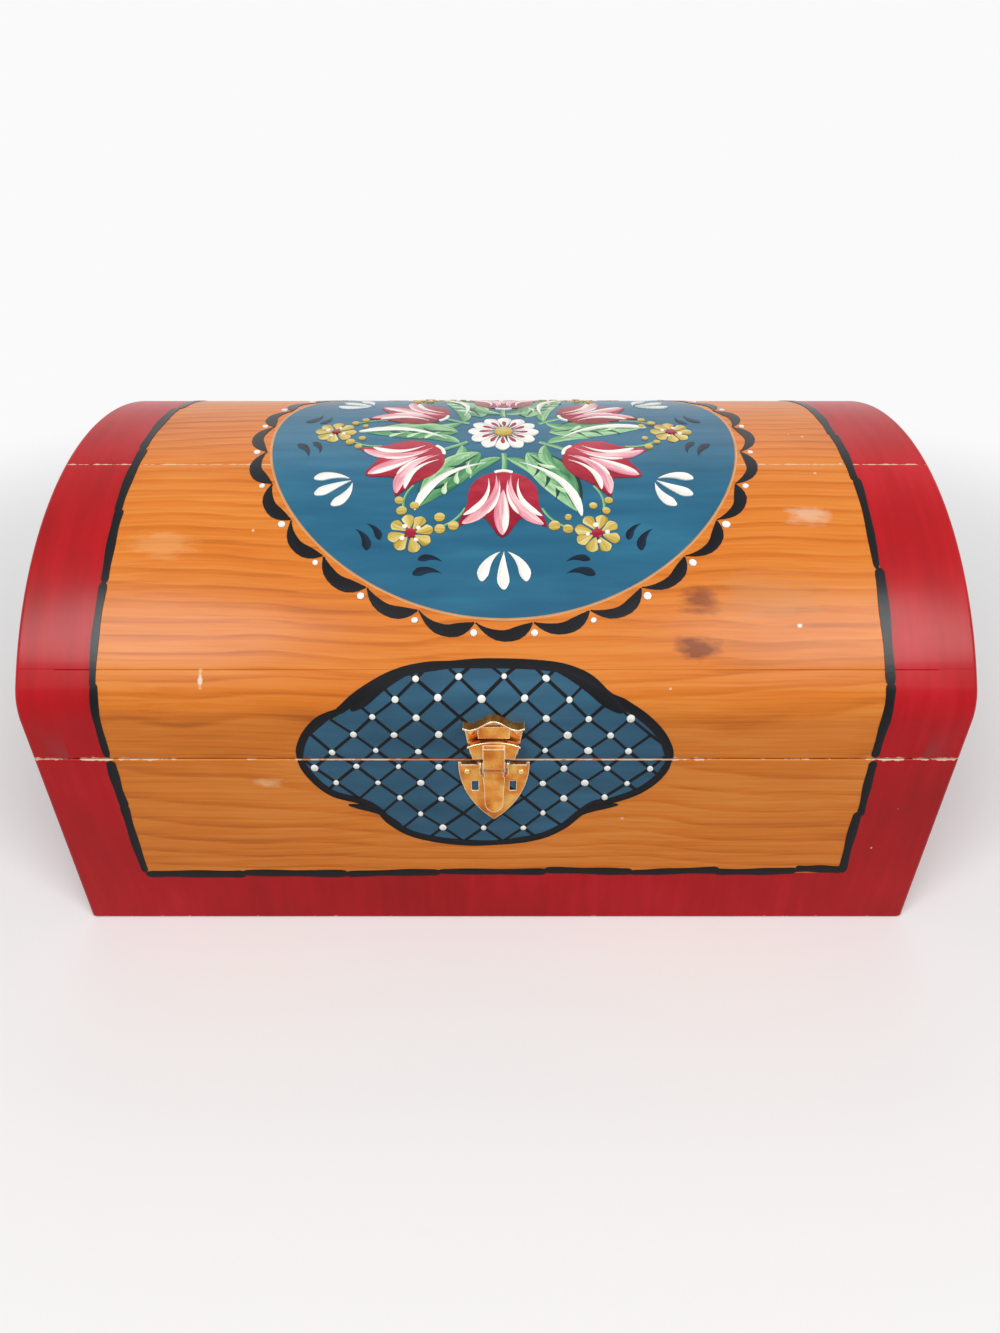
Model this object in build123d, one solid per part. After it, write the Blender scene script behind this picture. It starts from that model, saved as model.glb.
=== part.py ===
"""Painted jewelry box with a coopered dome lid, two butt hinges and an over-centre draw latch.

The origin is the centre of the underside, X runs along the front, -Y is the front and +Z is up.
Every size is in millimetres.
"""
from build123d import *
from math import asin, cos, radians, sin, sqrt
import os

# Case sizes
width = 305.0
depth = 228.0
base_height = 75.0
seam_gap = 0.4
lid_wall_height = 14.5
crown_rise = 69.6
shoulder_radius = 20.0
wall = 12.7
end_wall = 12.7
corner_lap = 5.0
bottom_thickness = 6.0
bottom_rabbet = 6.0
bottom_fit = 0.2
top_board_width = 89.0
rail_joint_setback = 6.7
end_round = 1.5
seam_round = 0.5
foot_round = 1.0

# Hinge sizes
hinge_inset = 62.5
hinge_width = 30.0
leaf_height = 13.0
leaf_thickness = 1.2
barrel_radius = 2.4
hinge_pin_radius = 1.2
knuckle_count = 5
knuckle_gap = 0.3
barrel_standoff = 0.15
leaf_cutback = 0.4
pin_clearance = 0.05
screw_spacing = 18.0
screw_edge = 4.2
screw_shank_radius = 1.0
screw_head_radius = 2.0
screw_length = 9.0
screw_crown = 0.3
screw_slot = 0.5

# Fasteners of the latch
nail_head_radius = 1.3
nail_head_height = 0.8
nail_shank_radius = 0.6
nail_length = 8.0
fastener_fit = 0.02

# Latch sizes, with heights measured from the seam and standoffs from the front face
latch_offset = -0.8
sheet = 0.6
rivet_radius = 0.6
rivet_head_radius = 0.95
rivet_head_height = 0.3
side_clearance = 0.25
run_clearance = 0.25
over_centre = 0.6
pivot_rise = 0.2

# Shield plate on the base
shield_width = 23.5
shield_top = -0.6
shield_length = 24.8
shield_side_radius = 30.7
shield_nail_spacing = 17.8
shield_nail_drop = 4.1
flange_start = 5.4
flange_end = 10.8
flange_standoff = 1.9
ear_margin = 0.1
ear_foot = 5.4
window_width = 2.2
window_height = 4.0
window_start = 5.2
window_drop = 7.9

# Lever
knuckle_width = 5.9
lever_gap = 0.3
cheek_length = 2.2
lever_flat = 3.9
lever_crease = 8.3
lever_tip = 3.1
crease_standoff = 1.2
tip_standoff = 1.2
lever_end_width = 6.2

# Link
strap_width = 7.0
strap_foot_rise = 2.35
link_top = 9.7
link_width = 17.2
link_foot_width = 13.6
link_foot = 3.0
link_standoff = 3.1
link_camber_radius = 20.4
lip_depth = 1.4
strap_slope = 1.1

# Strike plate on the lid
strike_foot = 2.6
strike_foot_width = 15.4
strike_width = 19.6
hood_end_rise = 15.0
hood_dip_rise = 14.3
hood_dip_place = 7.2
hood_crown_rise = 17.6
hood_depth = 4.2
catch_width = 12.0
catch_clearance = 0.5
catch_reach = 2.7
catch_lip_width = 0.4
catch_lip_rise = 0.3
panel_width = 10.2
panel_foot = 10.2
panel_height = 4.2
panel_reach = 2.3
strike_nail_spacing = 14.8
strike_nail_rise = 11.7

# Heights and places of the case worked out from the sizes above
seam = base_height
lid_foot = base_height + seam_gap
shoulder = lid_foot + lid_wall_height
half_depth = depth / 2
half_width = width / 2
inner_half_depth = half_depth - wall
inner_half_width = half_width - end_wall
shoulder_run = half_depth - shoulder_radius
crown_over_centre = crown_rise - shoulder_radius
dome_radius = (shoulder_run**2 / crown_over_centre + shoulder_radius + crown_rise) / 2
dome_centre = shoulder + crown_rise - dome_radius
tangent_sine = shoulder_run / (dome_radius - shoulder_radius)
rail_joint_sine = (half_depth - rail_joint_setback) / dome_radius
top_joint_sine = top_board_width / 2 / dome_radius
stave_edge = (wall - rail_joint_setback) / rail_joint_sine

# Places of the hinge axis and the latch pivots
hinge_x_place = half_width - hinge_inset
hinge_axis_y = half_depth + barrel_radius + barrel_standoff
hinge_axis_z = seam + seam_gap / 2
latch_barrel = rivet_radius + pin_clearance + sheet
link_pivot_u = sheet + run_clearance + latch_barrel
lever_pivot_u = link_pivot_u + over_centre
lever_pivot_z = pivot_rise
link_pivot_z = lever_pivot_z - 2 * latch_barrel - lever_gap + pin_clearance
lever_inner = knuckle_width / 2 + side_clearance
lever_outer = lever_inner + sheet
ear_inner = lever_outer + side_clearance
strap_inner_u = lever_pivot_u + latch_barrel + run_clearance
strap_outer_u = strap_inner_u + sheet


def dome_point(sine, inset=0.0):
    """Point of the lid's section at the angle with this sine, inset from the dome's outer arc."""
    reach = dome_radius - inset
    return (-reach * sine, dome_centre + reach * sqrt(1 - sine**2))


def other_side(point):
    """The same point of the section on the other side of the box's middle."""
    return (-point[0], point[1])


def lid_outline(inset=0.0):
    """Face of the lid's whole section: upright walls, round shoulders and the dome."""
    radius = shoulder_radius - inset
    half_turn = (radians(90) + asin(tangent_sine)) / 2
    foot = (-half_depth + inset, lid_foot)
    upright_top = (-half_depth + inset, shoulder)
    on_shoulder = (-shoulder_run - radius * sin(half_turn), shoulder + radius * cos(half_turn))
    tangent = dome_point(tangent_sine, inset)
    crown = (0, dome_centre + dome_radius - inset)
    return make_face(
        [
            Line(foot, upright_top),
            ThreePointArc(upright_top, on_shoulder, tangent),
            ThreePointArc(tangent, crown, other_side(tangent)),
            ThreePointArc(other_side(tangent), other_side(on_shoulder), other_side(upright_top)),
            Line(other_side(upright_top), other_side(foot)),
            Line(other_side(foot), foot),
        ]
    )


def outline_of(*points):
    """Face with straight sides through the points."""
    return make_face(Polyline(*points, close=True).edges())


def across(section, length):
    """Solid with this front-to-back section, centred on the width of the box."""
    return extrude(Plane.YZ * section, length / 2, both=True)


def box_between(x, y, z):
    """Box with these lowest and highest values along each axis."""
    centre = Pos((x[0] + x[1]) / 2, (y[0] + y[1]) / 2, (z[0] + z[1]) / 2)
    return centre * Box(x[1] - x[0], y[1] - y[0], z[1] - z[0])


def turned_about(part):
    """The same part on the other side of the box, turned half round the upright axis."""
    return Rot(0, 0, 180) * part


def outer_end_edges(board, lowest):
    """Edges at the two ends of a board that lie on the outside of the box, above a height."""
    ends = [e for e in board.edges() if abs(abs(e.center().X) - half_width) < 1e-3]
    outside = []
    for edge in ends:
        middle = edge @ 0.5
        on_wall = abs(abs(middle.Y) - half_depth) < 1e-3
        from_centre = sqrt(middle.Y**2 + (middle.Z - dome_centre) ** 2)
        on_dome = middle.Z > shoulder and from_centre > dome_radius - stave_edge / 2
        if (on_wall or on_dome) and middle.Z > lowest:
            outside.append(edge)
    return outside


def wall_edges(board, height):
    """Long edges of a board on the front or back face of the box, at this height."""
    return [
        e
        for e in board.edges()
        if abs(e.center().Z - height) < 1e-3
        and abs(abs(e.center().Y) - half_depth) < 1e-3
        and abs(e.center().X) < 1e-3
    ]


# Lid sections, cut from the one outline so that neighbouring boards meet face to face
rail_joint_out = dome_point(rail_joint_sine)
rail_joint_in = dome_point(rail_joint_sine, stave_edge)
top_joint_out = dome_point(top_joint_sine)
top_joint_in = dome_point(top_joint_sine, stave_edge)
beyond = -stave_edge
rail_side = (-half_depth, rail_joint_out[1])
rail_base = (-half_depth, lid_foot)
lid_end_space = outline_of(
    rail_base,
    rail_side,
    rail_joint_out,
    rail_joint_in,
    top_joint_in,
    other_side(top_joint_in),
    other_side(rail_joint_in),
    other_side(rail_joint_out),
    other_side(rail_side),
    other_side(rail_base),
)
lid_end_section = lid_outline(corner_lap) & lid_end_space


def crown_arc(radius, height):
    """Domed outline of a fastener's head, from its rim to its top on the axis."""
    sphere = (radius**2 + height**2) / (2 * height)
    half_turn = asin(radius / sphere) / 2
    middle = (sphere * sin(half_turn), sphere - height - sphere * cos(half_turn))
    return ThreePointArc((radius, 0), middle, (0, -height))


def nail(radius=0.0):
    """Round-head nail driven along +Y from the plate's face, or with a radius added, its hole."""
    shank = nail_shank_radius + radius
    head = nail_head_radius + radius
    section = make_face(
        [
            Line((0, -nail_head_height), (0, nail_length)),
            Line((0, nail_length), (shank, nail_length - shank)),
            Line((shank, nail_length - shank), (shank, 0)),
            Line((shank, 0), (head, 0)),
            crown_arc(head, nail_head_height),
        ]
    )
    return revolve(section, Axis.Y)


def hinge_screw(radius=0.0):
    """Countersunk screw driven along +Y, or with a radius added, its hole and its seat."""
    shank = screw_shank_radius + radius
    head = screw_head_radius + radius
    sunk = screw_head_radius - screw_shank_radius
    section = make_face(
        [
            Line((0, -screw_crown), (0, screw_length)),
            Line((0, screw_length), (shank, screw_length - shank)),
            Line((shank, screw_length - shank), (shank, sunk)),
            Line((shank, sunk), (head, 0)),
            crown_arc(head, screw_crown),
        ]
    )
    return revolve(section, Axis.Y)


def slotted(screw):
    """The screw with the slot across its head."""
    slot = box_between(
        (-screw_head_radius, screw_head_radius),
        (-screw_crown, screw_slot / 2),
        (-screw_slot / 2, screw_slot / 2),
    )
    return screw - slot


# Places of the fasteners
screw_height = leaf_height - screw_edge
base_screws = []
lid_screws = []
for hinge_x in (-hinge_x_place, hinge_x_place):
    for side in (-screw_spacing / 2, screw_spacing / 2):
        face = Pos(hinge_x + side, half_depth + leaf_thickness, 0) * Rot(0, 0, 180)
        base_screws.append(Pos(0, 0, hinge_axis_z - screw_height) * face)
        lid_screws.append(Pos(0, 0, hinge_axis_z + screw_height) * face)
front_plate = Pos(latch_offset, -half_depth - sheet, seam)
shield_nails = []
strike_nails = []
for side in (-1, 1):
    shield_place = Pos(side * shield_nail_spacing / 2, 0, shield_top - shield_nail_drop)
    shield_nails.append(front_plate * shield_place)
    strike_nails.append(front_plate * Pos(side * strike_nail_spacing / 2, 0, strike_nail_rise))


def drilled(part, places, fastener):
    """The part with a hole for a fastener at each place."""
    for place in places:
        part -= place * fastener(fastener_fit)
    return part


def base_long_board(places, fastener):
    """Front board of the base, rabbeted for the ends and for the bottom board."""
    board = box_between((-half_width, half_width), (-half_depth, -inner_half_depth), (0, base_height))
    for side in (-1, 1):
        near, far = sorted((side * inner_half_width, side * half_width))
        board -= box_between((near, far), (-half_depth + corner_lap, -inner_half_depth), (0, base_height))
    board -= box_between(
        (-half_width, half_width),
        (-inner_half_depth - bottom_rabbet, -inner_half_depth),
        (0, bottom_thickness),
    )
    board = fillet(outer_end_edges(board, 0), end_round)
    board = fillet(wall_edges(board, base_height), seam_round)
    board = fillet(wall_edges(board, 0), foot_round)
    return drilled(board, places, fastener)


def base_end_board(side):
    """End board of the base, let into the long boards and rabbeted for the bottom board."""
    inner = side * inner_half_width
    outer = side * half_width
    reach = half_depth - corner_lap
    board = box_between(sorted((inner, outer)), (-reach, reach), (0, base_height))
    rabbet = sorted((inner, inner + side * bottom_rabbet))
    board -= box_between(rabbet, (-reach, reach), (0, bottom_thickness))
    outside = [e for e in board.edges() if abs(e.center().X - outer) < 1e-3 and abs(e.center().Y) < 1e-3]
    for edge in outside:
        size = seam_round if edge.center().Z > base_height / 2 else foot_round
        near = [e for e in board.edges() if (e.center() - edge.center()).length < 2 * foot_round]
        board = fillet([near[0]], size)
    return board


def lid_rail(places, fastener):
    """Front rail of the lid: upright wall and shoulder, rabbeted for the lid's ends."""
    rail_space = outline_of(rail_base, rail_side, rail_joint_out, rail_joint_in, (rail_joint_in[0], lid_foot))
    board = across(lid_outline() & rail_space, width)
    for side in (-1, 1):
        board -= Pos(side * (half_width - end_wall / 2), 0, 0) * across(lid_end_section, end_wall)
    board = fillet(outer_end_edges(board, lid_foot), end_round)
    board = fillet(wall_edges(board, lid_foot), seam_round)
    return drilled(board, places, fastener)


def lid_stave(first, last):
    """Full-length stave of the dome, rounded outside and flat inside, between two joint angles."""
    wedge = outline_of(
        dome_point(first, stave_edge),
        dome_point(last, stave_edge),
        dome_point(last, beyond),
        dome_point(first, beyond),
    )
    board = across(lid_outline() & wedge, width)
    return fillet(outer_end_edges(board, lid_foot), end_round)


def lid_end(side):
    """End board of the lid, under the staves and between the rails."""
    board = Pos(side * (half_width - end_wall / 2), 0, 0) * across(lid_end_section, end_wall)
    seam_edge = [
        e
        for e in board.edges()
        if abs(e.center().X - side * half_width) < 1e-3 and abs(e.center().Z - lid_foot) < 1e-3
    ]
    return fillet(seam_edge, seam_round)


def hinge_leaf(hinge_x, up):
    """Leaf of a butt hinge with its knuckles; up is 1 for the lid's leaf and -1 for the base's."""
    back = (half_depth, half_depth + leaf_thickness)
    clear = barrel_radius + leaf_cutback
    plate_z = sorted((hinge_axis_z + up * clear, hinge_axis_z + up * leaf_height))
    leaf = box_between((hinge_x - hinge_width / 2, hinge_x + hinge_width / 2), back, plate_z)
    pitch = hinge_width / knuckle_count
    axis_place = Pos(0, hinge_axis_y, hinge_axis_z) * Rot(0, 90, 0)
    first = 0 if up < 0 else 1
    for index in range(first, knuckle_count, 2):
        start = hinge_x - hinge_width / 2 + index * pitch
        near = start if index == 0 else start + knuckle_gap / 2
        far = start + pitch if index == knuckle_count - 1 else start + pitch - knuckle_gap / 2
        barrel = Pos((near + far) / 2, 0, 0) * axis_place * Cylinder(barrel_radius, far - near)
        web_z = sorted((hinge_axis_z, hinge_axis_z + up * clear))
        leaf += barrel + box_between((near, far), back, web_z)
    bore = Pos(hinge_x, 0, 0) * axis_place * Cylinder(hinge_pin_radius + pin_clearance, hinge_width)
    corners = leaf.edges().filter_by(Axis.Y).sort_by(Axis.Z)
    outer = corners[:2] if up < 0 else corners[-2:]
    leaf = fillet(outer, leaf_thickness)
    places = base_screws if up < 0 else lid_screws
    near_places = [p for p in places if abs(p.position.X - hinge_x) < hinge_width]
    return drilled(leaf - bore, near_places, hinge_screw)


def hinge_pin(hinge_x):
    """Pin through all the knuckles of one hinge."""
    place = Pos(hinge_x, hinge_axis_y, hinge_axis_z) * Rot(0, 90, 0)
    pin = place * Cylinder(hinge_pin_radius, hinge_width)
    return chamfer(pin.edges().filter_by(GeomType.CIRCLE), hinge_pin_radius / 4)


# Planes of the latch: its front view with the first axis across, and its side view with the
# first axis standing out from the box; both have heights above the seam as the second axis
latch_front = Plane(origin=(latch_offset, -half_depth, seam), x_dir=(1, 0, 0), z_dir=(0, -1, 0))
latch_side = Plane(origin=(latch_offset, -half_depth, seam), x_dir=(0, -1, 0), z_dir=(-1, 0, 0))


def plate(face, start, end):
    """Solid with this front view between two standoffs from the front face."""
    return extrude(latch_front.offset(start) * face, end - start)


def bar(face, bar_width, middle=0.0):
    """Solid with this side view, this width and its middle at this place across the latch."""
    return Pos(middle, 0, 0) * extrude(latch_side * face, bar_width / 2, both=True)


def disc(radius, place):
    """Round face of this radius in a latch plane."""
    return Pos(place[0], place[1]) * Circle(radius)


def hull_of(*faces):
    """Face stretched round these faces."""
    edges = []
    for face in faces:
        edges.extend(face.edges())
    return make_hull(edges)


def rectangle(low, high):
    """Rectangular face between two corners."""
    return outline_of(low, (high[0], low[1]), high, (low[0], high[1]))


lever_pivot = (lever_pivot_u, lever_pivot_z)
link_pivot = (link_pivot_u, link_pivot_z)


def latch_shield_plate():
    """Shield plate of the latch with its turned-out rims, windows and the two pivot ears."""
    half = shield_width / 2
    tip = (0, shield_top - shield_length)
    outline = make_face(
        [
            Line((-half, shield_top), (half, shield_top)),
            RadiusArc((half, shield_top), tip, shield_side_radius),
            RadiusArc(tip, (-half, shield_top), shield_side_radius),
        ]
    )
    shield = plate(outline, 0, sheet)
    ear_radius = latch_barrel + ear_margin
    foot = rectangle((0, shield_top - ear_foot), (sheet, shield_top))
    ear = hull_of(disc(ear_radius, lever_pivot), foot)
    for side in (-1, 1):
        rim_x = sorted((side * flange_start, side * flange_end))
        rim = rectangle((rim_x[0], shield_top - sheet), (rim_x[1], shield_top))
        shield += plate(rim, 0, flange_standoff)
        shield += bar(ear, sheet, side * (ear_inner + sheet / 2))
        window_x = sorted((side * window_start, side * (window_start + window_width)))
        window_top = shield_top - window_drop
        window = rectangle((window_x[0], window_top - window_height), (window_x[1], window_top))
        shield -= plate(window, 0, sheet)
    shield -= bar(disc(rivet_radius + fastener_fit, lever_pivot), 2 * (ear_inner + 2 * sheet))
    return drilled(shield, shield_nails, nail)


def latch_pivot_pin():
    """Rivet through the ears that the lever turns on."""
    reach = ear_inner + sheet
    pin = bar(disc(rivet_radius, lever_pivot), 2 * reach)
    for side in (-1, 1):
        head = disc(rivet_head_radius, lever_pivot)
        pin += bar(head, rivet_head_height, side * (reach + rivet_head_height / 2))
    return pin


def latch_lever():
    """Lever of the latch: top barrel, two cheeks, and the handle that bends out to its tip."""
    flat_top = link_pivot_z - latch_barrel - lever_gap
    flat_u = sheet + run_clearance
    knee = flat_top - lever_flat
    crease = knee - lever_crease
    tip = crease - lever_tip
    crease_u = flat_u + crease_standoff
    tip_u = crease_u + tip_standoff
    inside = [(flat_u, flat_top), (flat_u, knee), (crease_u, crease), (tip_u, tip)]
    outside = [(u + sheet, z) for u, z in reversed(inside)]
    handle = bar(outline_of(*inside, *outside), 2 * lever_outer)
    cheek_foot = rectangle((flat_u, flat_top - cheek_length), (flat_u + sheet, flat_top))
    link_ring = disc(latch_barrel, link_pivot)
    cheek = hull_of(disc(latch_barrel, lever_pivot), link_ring) + hull_of(link_ring, cheek_foot)
    lever = bar(disc(latch_barrel, lever_pivot), 2 * lever_outer)
    for side in (-1, 1):
        lever += bar(cheek, sheet, side * (lever_inner + sheet / 2))
    end_radius = lever_end_width / 2
    taper = make_face(
        [
            Line((-lever_outer, flat_top), (lever_outer, flat_top)),
            Line((lever_outer, flat_top), (end_radius, tip + end_radius)),
            ThreePointArc((end_radius, tip + end_radius), (0, tip), (-end_radius, tip + end_radius)),
            Line((-end_radius, tip + end_radius), (-lever_outer, flat_top)),
        ]
    )
    lever += handle & plate(taper, 0, tip_u + 2 * sheet)
    lever -= bar(disc(rivet_radius + pin_clearance, lever_pivot), 2 * ear_inner)
    return lever - bar(disc(rivet_radius + fastener_fit, link_pivot), 2 * ear_inner)


def latch_link_pin():
    """Rivet between the lever's cheeks that carries the link."""
    return bar(disc(rivet_radius, link_pivot), 2 * lever_outer)


def camber_band(outer, inner, band_width):
    """Front view of a strip between two radii of the link's cambered top edge."""
    centre = (0, link_top - link_camber_radius)
    ring = disc(outer, centre) - disc(inner, centre)
    return ring & rectangle((-band_width / 2, centre[1]), (band_width / 2, link_top + sheet))


def latch_link():
    """Link of the latch: hooked top plate, raised strap and the knuckle on the lever's rivet."""
    plate_outer = link_standoff + sheet
    half_top = link_width / 2
    half_foot = link_foot_width / 2
    wide = outline_of(
        (-half_foot, link_foot),
        (half_foot, link_foot),
        (half_top, link_top),
        (-half_top, link_top),
    )
    link = plate(wide & disc(link_camber_radius, (0, link_top - link_camber_radius)), link_standoff, plate_outer)
    half_strap = strap_width / 2
    slope_top = link_top - 2 * sheet
    slot_top = slope_top - strap_slope
    slot = rectangle((sheet - half_strap, link_foot), (half_strap - sheet, slot_top))
    link -= plate(slot, link_standoff, plate_outer)
    strap_foot = link_pivot_z + strap_foot_rise
    strap = outline_of(
        (strap_inner_u, strap_foot),
        (strap_inner_u, slot_top),
        (link_standoff, slope_top - sheet),
        (plate_outer, slope_top),
        (strap_outer_u, slot_top + sheet / 2),
        (strap_outer_u, strap_foot),
    )
    link += bar(strap, strap_width)
    side_wall = rectangle((link_standoff, link_foot), (strap_inner_u, slot_top))
    for side in (-1, 1):
        link += bar(side_wall, sheet, side * (half_strap - sheet / 2))
    tongue = outline_of(
        (strap_inner_u, strap_foot + sheet),
        (strap_inner_u, strap_foot),
        (link_pivot_u + latch_barrel - sheet, link_pivot_z),
        (link_pivot_u + latch_barrel, link_pivot_z),
        (strap_outer_u, strap_foot),
        (strap_outer_u, strap_foot + sheet),
    )
    link += bar(tongue, knuckle_width)
    link += bar(disc(latch_barrel, link_pivot), knuckle_width)
    lip = camber_band(link_camber_radius, link_camber_radius - sheet, link_width)
    link += plate(lip, link_standoff - lip_depth, plate_outer)
    return link - bar(disc(rivet_radius + pin_clearance, link_pivot), 2 * ear_inner)


def hood_curve(rise=0.0):
    """Wavy line of the hood along the top of the strike plate."""
    end = strike_width / 2
    return Spline(
        (-end, hood_end_rise + rise),
        (-hood_dip_place, hood_dip_rise + rise),
        (0, hood_crown_rise + rise),
        (hood_dip_place, hood_dip_rise + rise),
        (end, hood_end_rise + rise),
    )


def latch_strike_plate():
    """Strike plate on the lid: nailed plate, catch for the link's lip, panel and wavy hood."""
    half_foot = strike_foot_width / 2
    lower = hood_curve()
    upper = hood_curve(sheet)
    body = make_face(
        [
            lower,
            Line(lower @ 1, (half_foot, strike_foot)),
            Line((half_foot, strike_foot), (-half_foot, strike_foot)),
            Line((-half_foot, strike_foot), lower @ 0),
        ]
    )
    band = make_face([lower, Line(lower @ 1, upper @ 1), upper, Line(upper @ 0, lower @ 0)])
    strike = plate(body, 0, sheet) + plate(band, 0, hood_depth)
    catch_top = link_camber_radius - sheet - catch_clearance
    strike += plate(camber_band(catch_top, catch_top - sheet, catch_width), 0, catch_reach)
    catch_lip = camber_band(catch_top + catch_lip_rise, catch_top - sheet, catch_width)
    strike += plate(catch_lip, catch_reach - catch_lip_width, catch_reach)
    panel = outline_of(
        (0, panel_foot),
        (panel_reach, panel_foot),
        (panel_reach - sheet, panel_foot + panel_height),
        (0, panel_foot + panel_height),
    )
    strike += bar(panel, panel_width)
    return drilled(strike, strike_nails, nail)


def group(places, fastener):
    """Separate fasteners, one at each place."""
    return Compound(children=[place * fastener for place in places])


parts = {
    "base_front_board": base_long_board(shield_nails, nail),
    "base_back_board": turned_about(base_long_board([turned_about(p) for p in base_screws], hinge_screw)),
    "base_left_end": base_end_board(-1),
    "base_right_end": base_end_board(1),
    "lid_front_rail": lid_rail(strike_nails, nail),
    "lid_back_rail": turned_about(lid_rail([turned_about(p) for p in lid_screws], hinge_screw)),
    "lid_left_end": lid_end(-1),
    "lid_right_end": lid_end(1),
    "lid_front_slope_board": lid_stave(rail_joint_sine, top_joint_sine),
    "lid_top_board": lid_stave(top_joint_sine, -top_joint_sine),
    "lid_rear_slope_board": turned_about(lid_stave(rail_joint_sine, top_joint_sine)),
    "latch_shield_plate": latch_shield_plate(),
    "latch_pivot_pin": latch_pivot_pin(),
    "latch_lever": latch_lever(),
    "latch_link_pin": latch_link_pin(),
    "latch_link": latch_link(),
    "latch_strike_plate": latch_strike_plate(),
    "latch_shield_nails": group(shield_nails, nail()),
    "latch_strike_nails": group(strike_nails, nail()),
    "hinge_base_screws": group(base_screws, slotted(hinge_screw())),
    "hinge_lid_screws": group(lid_screws, slotted(hinge_screw())),
}
bottom_reach_x = inner_half_width + bottom_rabbet - bottom_fit
bottom_reach_y = inner_half_depth + bottom_rabbet - bottom_fit
parts["base_bottom_board"] = box_between(
    (-bottom_reach_x, bottom_reach_x), (-bottom_reach_y, bottom_reach_y), (0, bottom_thickness)
)
for name, hinge_x in (("left", -hinge_x_place), ("right", hinge_x_place)):
    parts[f"hinge_{name}_base_leaf"] = hinge_leaf(hinge_x, -1)
    parts[f"hinge_{name}_lid_leaf"] = hinge_leaf(hinge_x, 1)
    parts[f"hinge_{name}_pin"] = hinge_pin(hinge_x)

os.makedirs("parts", exist_ok=True)
for name, part in parts.items():
    export_step(part, f"parts/{name}.step")
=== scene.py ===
import math
import random

import bmesh
import bpy
from mathutils import Matrix, Vector


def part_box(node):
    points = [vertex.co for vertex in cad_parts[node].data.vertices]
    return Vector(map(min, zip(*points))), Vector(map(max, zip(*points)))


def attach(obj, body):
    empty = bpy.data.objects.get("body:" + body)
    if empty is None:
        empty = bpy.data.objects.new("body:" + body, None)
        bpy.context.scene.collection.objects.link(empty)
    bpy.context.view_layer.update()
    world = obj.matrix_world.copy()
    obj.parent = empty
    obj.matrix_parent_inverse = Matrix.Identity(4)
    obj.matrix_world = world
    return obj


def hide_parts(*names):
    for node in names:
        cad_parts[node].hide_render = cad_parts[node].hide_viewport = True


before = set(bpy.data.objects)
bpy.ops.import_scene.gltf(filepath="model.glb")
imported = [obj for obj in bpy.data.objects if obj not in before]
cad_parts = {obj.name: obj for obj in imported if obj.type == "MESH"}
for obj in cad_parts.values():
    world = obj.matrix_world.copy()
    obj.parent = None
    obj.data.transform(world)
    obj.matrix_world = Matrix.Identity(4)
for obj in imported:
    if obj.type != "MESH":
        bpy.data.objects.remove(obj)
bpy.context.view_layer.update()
MM = 0.001

# Case sizes, read from the frame where a node shows them
front_low, front_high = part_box("base_front_board")
half_width = front_high.x
half_depth = -front_low.y
wall = front_high.y - front_low.y
seam = front_high.z
lid_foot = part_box("lid_front_rail")[0].z
shoulder = lid_foot + 14.5 * MM
shoulder_radius = 20 * MM
crown_rise = 69.6 * MM
crown = shoulder + crown_rise
shoulder_run = half_depth - shoulder_radius
dome_radius = (shoulder_run**2 / (crown_rise - shoulder_radius) + shoulder_radius + crown_rise) / 2
dome_centre = crown - dome_radius
dome_turn = math.asin(shoulder_run / (dome_radius - shoulder_radius))
shoulder_length = shoulder_radius * (math.pi / 2 - dome_turn)
crown_way = shoulder + shoulder_length + dome_radius * dome_turn
whole_way = 2 * crown_way
joint_setback = 6.7 * MM
top_board_width = 89 * MM
corner_lap = 5 * MM
joint_turn = math.asin((half_depth - joint_setback) / dome_radius)
top_turn = math.asin(top_board_width / 2 / dome_radius)
stave_edge = (wall - joint_setback) / math.sin(joint_turn)

# Painted layout, in metres across the front and round the case from its front bottom edge
band_left = -127 * MM
band_right = 124.5 * MM
band_foot = 23.5 * MM
brush_width = 2.9 * MM
paint_depth = 0.2 * MM
dot_lift = 0.45 * MM
uv_pitch = 10 * MM
seam_wear = 0.3 * MM
merge_reach = 0.0001 * MM


def case_point(x, way, lift=0.0):
    """Point on the case at a way round it from its front bottom edge, lifted off its surface."""
    if way > crown_way:
        front = case_point(x, whole_way - way, lift)
        return Vector((front.x, -front.y, front.z))
    if way <= shoulder:
        return Vector((x, -half_depth - lift, way))
    if way <= shoulder + shoulder_length:
        angle = math.pi / 2 - (way - shoulder) / shoulder_radius
        reach = shoulder_radius + lift
        return Vector((x, -shoulder_run - reach * math.sin(angle), shoulder + reach * math.cos(angle)))
    angle = dome_turn - (way - shoulder - shoulder_length) / dome_radius
    reach = dome_radius + lift
    return Vector((x, -reach * math.sin(angle), dome_centre + reach * math.cos(angle)))


# Node helpers shared by all the materials


def linear(code):
    """Linear colour of an sRGB hex value."""
    parts = [int(code[i : i + 2], 16) / 255 for i in (1, 3, 5)]
    return [p / 12.92 if p <= 0.04045 else ((p + 0.055) / 1.055) ** 2.4 for p in parts] + [1.0]


def grey(value):
    """Grey stop of a ramp that carries a number."""
    return (value, value, value, 1.0)


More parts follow.
